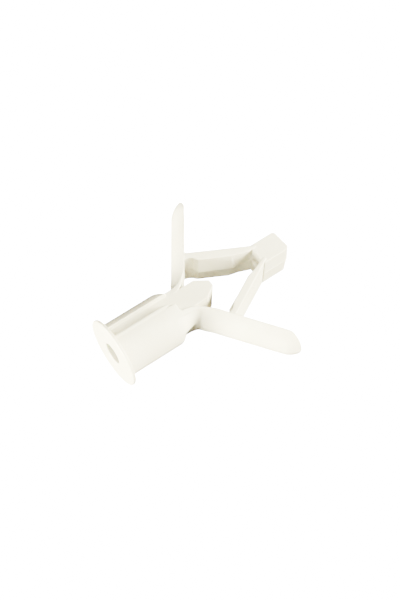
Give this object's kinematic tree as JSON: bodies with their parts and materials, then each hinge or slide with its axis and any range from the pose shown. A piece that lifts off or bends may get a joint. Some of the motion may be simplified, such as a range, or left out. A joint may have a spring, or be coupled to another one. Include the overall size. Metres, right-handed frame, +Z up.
{
  "type": "plasterboard butterfly anchor",
  "caption": "One-piece nylon butterfly wall anchor with a flanged sleeve, fold-out wings, links and a nose, joined by living hinges.",
  "frame": {"origin": "centre of the bounding box at its lowest point, under the sleeve's axis, which lies 7 mm above it", "axes": "+X along the plug from the flange's front face to the nose, +Z up, parallel to the axes that the wings fold about; the left wing is at +Y"},
  "size_m": [0.0396, 0.04, 0.014],
  "materials": {
    "nylon": "satin",
    "nylon_hinge": "satin"
  },
  "bodies": {
    "shank": {"flange": "nylon", "sleeve": "nylon", "crest_rib_top": "nylon", "crest_rib_bottom": "nylon", "tongue": "nylon", "root_hinge_left": "nylon_hinge", "root_hinge_right": "nylon_hinge"},
    "left_wing": {"wing_left": "nylon"},
    "right_wing": {"wing_right": "nylon"},
    "left_link": {"link_left": "nylon", "elbow_hinge_left": "nylon_hinge", "nose_hinge_left": "nylon_hinge"},
    "nose_block": {"nose": "nylon"},
    "right_link": {"link_right": "nylon", "elbow_hinge_right": "nylon_hinge", "nose_hinge_right": "nylon_hinge"}
  },
  "joints": [
    {"name": "wing_left_fold", "type": "hinge", "parent": "shank", "child": "left_wing", "pos_m": [-0.00176, 0.003, 0.007], "axis": [0, 0, 1], "range_deg": [-54.5, 8], "stiffness_Nm_per_rad": 0.02},
    {"name": "wing_right_fold", "type": "hinge", "parent": "shank", "child": "right_wing", "pos_m": [-0.00176, -0.003, 0.007], "axis": [0, 0, 1], "range_deg": [-8, 54.5]},
    {"name": "elbow_left_fold", "type": "hinge", "parent": "left_wing", "child": "left_link", "pos_m": [0.0028, 0.0079, 0.007], "axis": [0, 0, 1], "range_deg": [-13, 83.5]},
    {"name": "nose_left_fold", "type": "hinge", "parent": "left_link", "child": "nose_block", "pos_m": [0.01346, 0.00208, 0.007], "axis": [0, 0, 1], "range_deg": [-29, 4.5]},
    {"name": "nose_right_fold", "type": "hinge", "parent": "nose_block", "child": "right_link", "pos_m": [0.01346, -0.00208, 0.007], "axis": [0, 0, 1], "range_deg": [-29, 4.5]}
  ],
  "couplings": [
    {"joint": "wing_right_fold", "follows": "wing_left_fold", "ratio": -1},
    {"joint": "elbow_left_fold", "follows": "wing_left_fold", "ratio": -1.5204},
    {"joint": "nose_left_fold", "follows": "wing_left_fold", "ratio": 0.5204},
    {"joint": "nose_right_fold", "follows": "wing_left_fold", "ratio": 0.5204}
  ]
}
